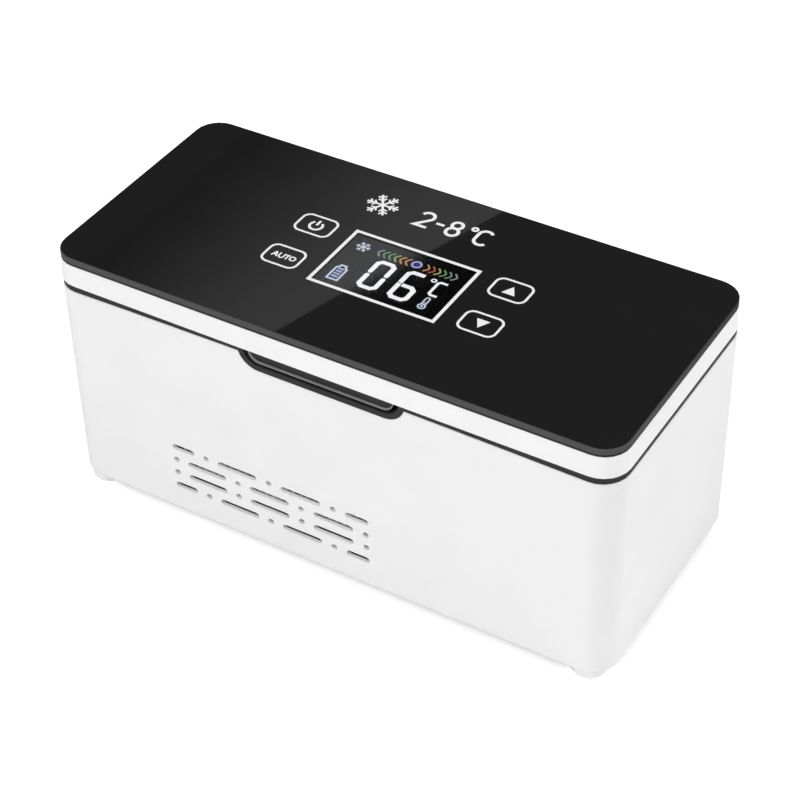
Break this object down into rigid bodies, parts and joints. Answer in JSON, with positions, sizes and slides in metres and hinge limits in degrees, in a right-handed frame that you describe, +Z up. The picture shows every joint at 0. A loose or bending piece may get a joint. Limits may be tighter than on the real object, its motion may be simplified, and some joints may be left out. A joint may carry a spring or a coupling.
{
  "type": "insulin cooling case",
  "caption": "Rectangular white cooling case with a hinged lid, glossy black top panel with display and keys, front air grille and an insulated metal chamber.",
  "frame": {"origin": "under the middle of the case, on the surface that its feet stand on", "axes": "+X along the length to the right of the front, +Y from the front to the rear, +Z up"},
  "size_m": [0.2188, 0.099, 0.1024],
  "materials": {
    "white_plastic": "satin",
    "dark_plastic": "satin",
    "liner_plastic": "satin",
    "panel_gloss": "mirror gloss",
    "window": "clear, tinted",
    "display": "gloss",
    "foot_rubber": "translucent, matt",
    "gasket_rubber": "matt",
    "steel": "plain",
    "aluminium": "satin",
    "foam": "open foam",
    "ceramic": "matt",
    "circuit_board": "lacquered",
    "battery_wrap": "shrink film"
  },
  "bodies": {
    "base": {"body_shell": "white_plastic", "base_plate": "dark_plastic", "foot_front_left": "foot_rubber", "foot_front_right": "foot_rubber", "foot_rear_left": "foot_rubber", "foot_rear_right": "foot_rubber", "base_screw_front_left": "steel", "base_screw_front_right": "steel", "base_screw_rear_left": "steel", "base_screw_rear_right": "steel", "rim_frame": "dark_plastic", "hinge_pin_left": "steel", "hinge_pin_right": "steel", "body_magnet_left": "steel", "body_magnet_right": "steel", "chamber_tub": "aluminium", "insulation_foam": "foam", "cold_block": "aluminium", "temperature_probe": "steel", "peltier_module": "ceramic", "heatsink": "aluminium", "heatsink_screw_left": "steel", "heatsink_screw_right": "steel", "fan_frame": "dark_plastic", "fan_screw_front_left": "steel", "fan_screw_front_right": "steel", "fan_screw_rear_left": "steel", "fan_screw_rear_right": "steel", "battery_pack": "battery_wrap", "main_board": "circuit_board", "charging_inlet": "dark_plastic"},
    "fan": {"fan_rotor": "dark_plastic"},
    "lid": {"lid_shell": "white_plastic", "lid_liner": "liner_plastic", "lid_foam": "foam", "lid_gasket": "gasket_rubber", "liner_screw_front_left": "steel", "liner_screw_front_right": "steel", "liner_screw_rear_left": "steel", "liner_screw_rear_right": "steel", "lid_magnet_left": "steel", "lid_magnet_right": "steel", "pull_tab": "dark_plastic", "lid_panel": "panel_gloss", "display_window": "window", "display_module": "display", "key_board": "circuit_board", "switch_power": "steel", "switch_auto": "steel", "switch_up": "steel", "switch_down": "steel"},
    "power_key": {"key_power": "panel_gloss"},
    "auto_key": {"key_auto": "panel_gloss"},
    "up_key": {"key_up": "panel_gloss"},
    "down_key": {"key_down": "panel_gloss"}
  },
  "joints": [
    {"name": "lid_hinge", "type": "hinge", "parent": "base", "child": "lid", "pos_m": [0, 0.04665, 0.09385], "axis": [-1, 0, 0], "range_deg": [0, 100]},
    {"name": "fan_spin", "type": "hinge", "parent": "base", "child": "fan", "pos_m": [-0.02265, 0, 0.0133], "axis": [0, 0, 1], "continuous": true},
    {"name": "power_press", "type": "slide", "parent": "lid", "child": "power_key", "axis": [0, 0, -1], "range_m": [0, 0.00045], "stiffness_N_per_m": 800, "springref_m": -0.0005},
    {"name": "auto_press", "type": "slide", "parent": "lid", "child": "auto_key", "axis": [0, 0, -1], "range_m": [0, 0.00045], "stiffness_N_per_m": 800, "springref_m": -0.0005},
    {"name": "up_press", "type": "slide", "parent": "lid", "child": "up_key", "axis": [0, 0, -1], "range_m": [0, 0.00045], "stiffness_N_per_m": 800, "springref_m": -0.0005},
    {"name": "down_press", "type": "slide", "parent": "lid", "child": "down_key", "axis": [0, 0, -1], "range_m": [0, 0.00045], "stiffness_N_per_m": 800, "springref_m": -0.0005}
  ]
}
